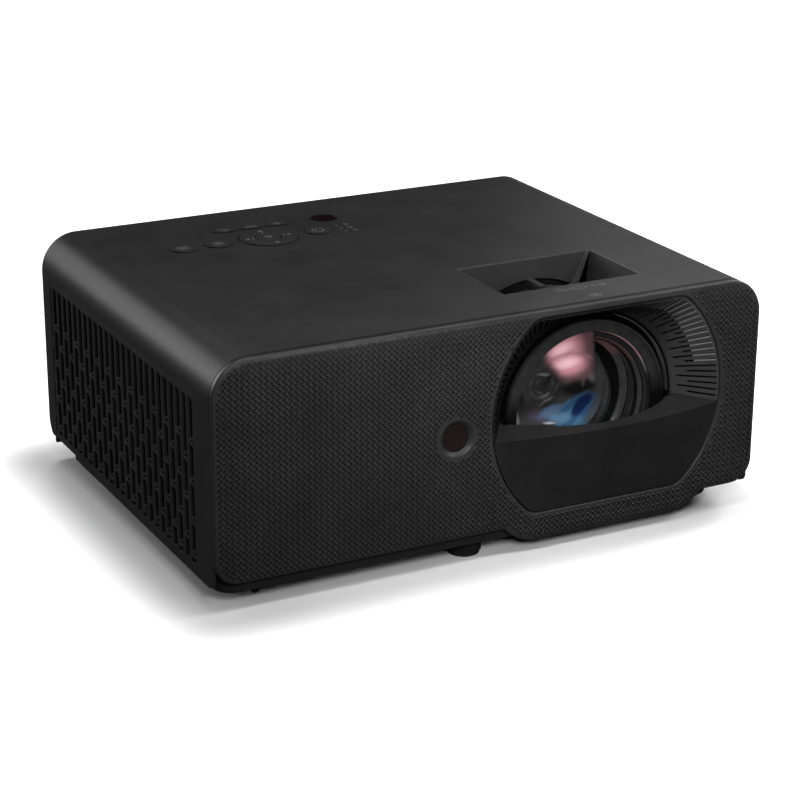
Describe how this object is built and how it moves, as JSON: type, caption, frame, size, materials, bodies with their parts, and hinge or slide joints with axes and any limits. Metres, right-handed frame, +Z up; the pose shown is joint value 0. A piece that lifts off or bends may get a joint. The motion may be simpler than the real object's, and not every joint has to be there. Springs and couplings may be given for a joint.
{
  "type": "home projector",
  "caption": "Short-throw laser home projector: boxed casing with slotted sides, large front lens, top keypad, zoom and focus rings and screw feet.",
  "frame": {"origin": "on the surface the projector stands on, at the middle of its footprint box", "axes": "+Z up, -Y out of the lens (front), +X to the right as seen from the front"},
  "size_m": [0.416, 0.331, 0.1749],
  "materials": {
    "casing": "fine satin moulded grain",
    "base_plastic": "plain matt moulding",
    "panel": "raised woven tread texture",
    "funnel_plastic": "matt with radial grooves",
    "cover_smooth": "smooth satin",
    "ir_window": "dark infra-red filter",
    "light_pipe": "clear light pipe",
    "key_plastic": "satin",
    "circuit_board": "solder resist",
    "lens_black": "satin black",
    "glass": "coated optical glass",
    "ring_plastic": "ribbed grip",
    "cast_alloy": "bare casting",
    "sheet_steel": "plated",
    "phosphor": "coated disc",
    "copper": "drawn tube",
    "fan_plastic": "moulded",
    "foot_plastic": "moulded, ribbed",
    "foot_rubber": "matt rubber"
  },
  "bodies": {
    "root": {"top_cover": "casing", "bottom_cover": "base_plastic", "front_panel": "panel", "rear_panel": "casing", "left_side_grille": "casing", "right_side_grille": "casing", "lens_funnel": "funnel_plastic", "lens_lower_cover": "cover_smooth", "ring_well": "casing", "front_ir_window": "ir_window", "top_ir_window": "ir_window", "status_light_pipes": "light_pipe", "keypad_board": "circuit_board", "lens_barrel": "lens_black", "rear_lens": "glass", "lens_mount_plate": "cast_alloy", "engine_housing": "cast_alloy", "engine_lid": "sheet_steel", "dmd_board": "circuit_board", "dmd_heat_sink": "cast_alloy", "laser_module": "cast_alloy", "laser_heat_sink": "cast_alloy", "heat_pipes": "copper", "intake_fan_frame": "fan_plastic", "front_exhaust_fan_frame": "fan_plastic", "rear_exhaust_fan_frame": "fan_plastic", "main_board": "circuit_board", "hdmi_ports": "sheet_steel", "usb_port": "sheet_steel", "audio_jack": "base_plastic", "ac_inlet": "base_plastic", "power_supply_board": "circuit_board", "speakers": "base_plastic", "front_steady_feet": "foot_plastic", "case_screws": "sheet_steel"},
    "power_button": {"power_button": "key_plastic"},
    "ok_button": {"ok_button": "key_plastic"},
    "source_key": {"source_key": "key_plastic"},
    "menu_key": {"menu_key": "key_plastic"},
    "back_key": {"back_key": "key_plastic"},
    "mode_key": {"mode_key": "key_plastic"},
    "info_key": {"info_key": "key_plastic"},
    "direction_pad_frame": {"direction_pad_frame": "base_plastic"},
    "direction_pad": {"direction_pad": "key_plastic"},
    "focus_ring": {"focus_ring": "ring_plastic"},
    "front_lens_group": {"front_lens_cell": "lens_black", "front_lens": "glass"},
    "zoom_ring": {"zoom_ring": "ring_plastic"},
    "zoom_lens_group": {"zoom_lens_cell": "lens_black", "zoom_lens": "glass"},
    "phosphor_wheel": {"phosphor_wheel": "phosphor"},
    "intake_fan_rotor": {"intake_fan_rotor": "fan_plastic"},
    "front_exhaust_fan_rotor": {"front_exhaust_fan_rotor": "fan_plastic"},
    "rear_exhaust_fan_rotor": {"rear_exhaust_fan_rotor": "fan_plastic"},
    "front_foot_sole": {"front_foot_sole": "foot_rubber"},
    "front_foot_screw": {"front_foot_screw": "foot_plastic"},
    "rear_left_foot_sole": {"rear_left_foot_sole": "foot_rubber"},
    "rear_left_foot_screw": {"rear_left_foot_screw": "foot_plastic"},
    "rear_right_foot_sole": {"rear_right_foot_sole": "foot_rubber"},
    "rear_right_foot_screw": {"rear_right_foot_screw": "foot_plastic"}
  },
  "joints": [
    {"name": "power_button_press", "type": "slide", "parent": "root", "child": "power_button", "axis": [0, 0, -1], "range_m": [0, 0.0008], "stiffness_N_per_m": 600},
    {"name": "ok_button_press", "type": "slide", "parent": "root", "child": "ok_button", "axis": [0, 0, -1], "range_m": [0, 0.0008], "stiffness_N_per_m": 600},
    {"name": "source_key_press", "type": "slide", "parent": "root", "child": "source_key", "axis": [0, 0, -1], "range_m": [0, 0.0008], "stiffness_N_per_m": 600},
    {"name": "menu_key_press", "type": "slide", "parent": "root", "child": "menu_key", "axis": [0, 0, -1], "range_m": [0, 0.0008], "stiffness_N_per_m": 600},
    {"name": "back_key_press", "type": "slide", "parent": "root", "child": "back_key", "axis": [0, 0, -1], "range_m": [0, 0.0008], "stiffness_N_per_m": 600},
    {"name": "mode_key_press", "type": "slide", "parent": "root", "child": "mode_key", "axis": [0, 0, -1], "range_m": [0, 0.0008], "stiffness_N_per_m": 600},
    {"name": "info_key_press", "type": "slide", "parent": "root", "child": "info_key", "axis": [0, 0, -1], "range_m": [0, 0.0008], "stiffness_N_per_m": 600},
    {"name": "pad_tilt_front_back", "type": "hinge", "parent": "root", "child": "direction_pad_frame", "pos_m": [-0.0605, 0.0855, 0.168], "axis": [1, 0, 0], "range_deg": [-2, 2], "stiffness_Nm_per_rad": 0.4},
    {"name": "pad_tilt_side", "type": "hinge", "parent": "direction_pad_frame", "child": "direction_pad", "pos_m": [-0.0605, 0.0855, 0.168], "axis": [0, 1, 0], "range_deg": [-2, 2], "stiffness_Nm_per_rad": 0.4},
    {"name": "focus_turn", "type": "hinge", "parent": "root", "child": "focus_ring", "pos_m": [0.0855, -0.0985, 0.0865], "axis": [0, -1, 0], "range_deg": [-16, 16]},
    {"name": "front_lens_travel", "type": "slide", "parent": "root", "child": "front_lens_group", "axis": [0, -1, 0], "range_m": [-0.001, 0.001]},
    {"name": "zoom_turn", "type": "hinge", "parent": "root", "child": "zoom_ring", "pos_m": [0.0855, -0.0705, 0.0865], "axis": [0, -1, 0], "range_deg": [-16, 16]},
    {"name": "zoom_lens_travel", "type": "slide", "parent": "root", "child": "zoom_lens_group", "axis": [0, -1, 0], "range_m": [-0.006, 0.006]},
    {"name": "phosphor_wheel_spin", "type": "hinge", "parent": "root", "child": "phosphor_wheel", "pos_m": [0.032, 0.0315, 0.086], "axis": [1, 0, 0], "continuous": true},
    {"name": "intake_fan_spin", "type": "hinge", "parent": "root", "child": "intake_fan_rotor", "pos_m": [-0.187, 0.0105, 0.086], "axis": [1, 0, 0], "continuous": true},
    {"name": "front_exhaust_fan_spin", "type": "hinge", "parent": "root", "child": "front_exhaust_fan_rotor", "pos_m": [0.187, -0.0385, 0.086], "axis": [1, 0, 0], "continuous": true},
    {"name": "rear_exhaust_fan_spin", "type": "hinge", "parent": "root", "child": "rear_exhaust_fan_rotor", "pos_m": [0.187, 0.0575, 0.086], "axis": [1, 0, 0], "continuous": true},
    {"name": "front_foot_height", "type": "slide", "parent": "root", "child": "front_foot_sole", "axis": [0, 0, -1], "range_m": [0, 0.012]},
    {"name": "front_foot_screw_turn", "type": "hinge", "parent": "front_foot_sole", "child": "front_foot_screw", "pos_m": [-0.014, -0.1305, 0.008], "axis": [0, 0, 1], "range_deg": [0, 2880]},
    {"name": "rear_left_foot_height", "type": "slide", "parent": "root", "child": "rear_left_foot_sole", "axis": [0, 0, -1], "range_m": [0, 0.012]},
    {"name": "rear_left_foot_screw_turn", "type": "hinge", "parent": "rear_left_foot_sole", "child": "rear_left_foot_screw", "pos_m": [-0.165, 0.1305, 0.008], "axis": [0, 0, 1], "range_deg": [0, 2880]},
    {"name": "rear_right_foot_height", "type": "slide", "parent": "root", "child": "rear_right_foot_sole", "axis": [0, 0, -1], "range_m": [0, 0.012]},
    {"name": "rear_right_foot_screw_turn", "type": "hinge", "parent": "rear_right_foot_sole", "child": "rear_right_foot_screw", "pos_m": [0.165, 0.1305, 0.008], "axis": [0, 0, 1], "range_deg": [0, 2880]}
  ],
  "couplings": [
    {"joint": "front_foot_screw_turn", "follows": "front_foot_height", "rad_per_m": 4188.8},
    {"joint": "rear_left_foot_screw_turn", "follows": "rear_left_foot_height", "rad_per_m": 4188.8},
    {"joint": "rear_right_foot_screw_turn", "follows": "rear_right_foot_height", "rad_per_m": 4188.8},
    {"joint": "front_lens_travel", "follows": "focus_turn", "m_per_rad": 0.003581},
    {"joint": "zoom_lens_travel", "follows": "zoom_turn", "m_per_rad": 0.021486}
  ]
}
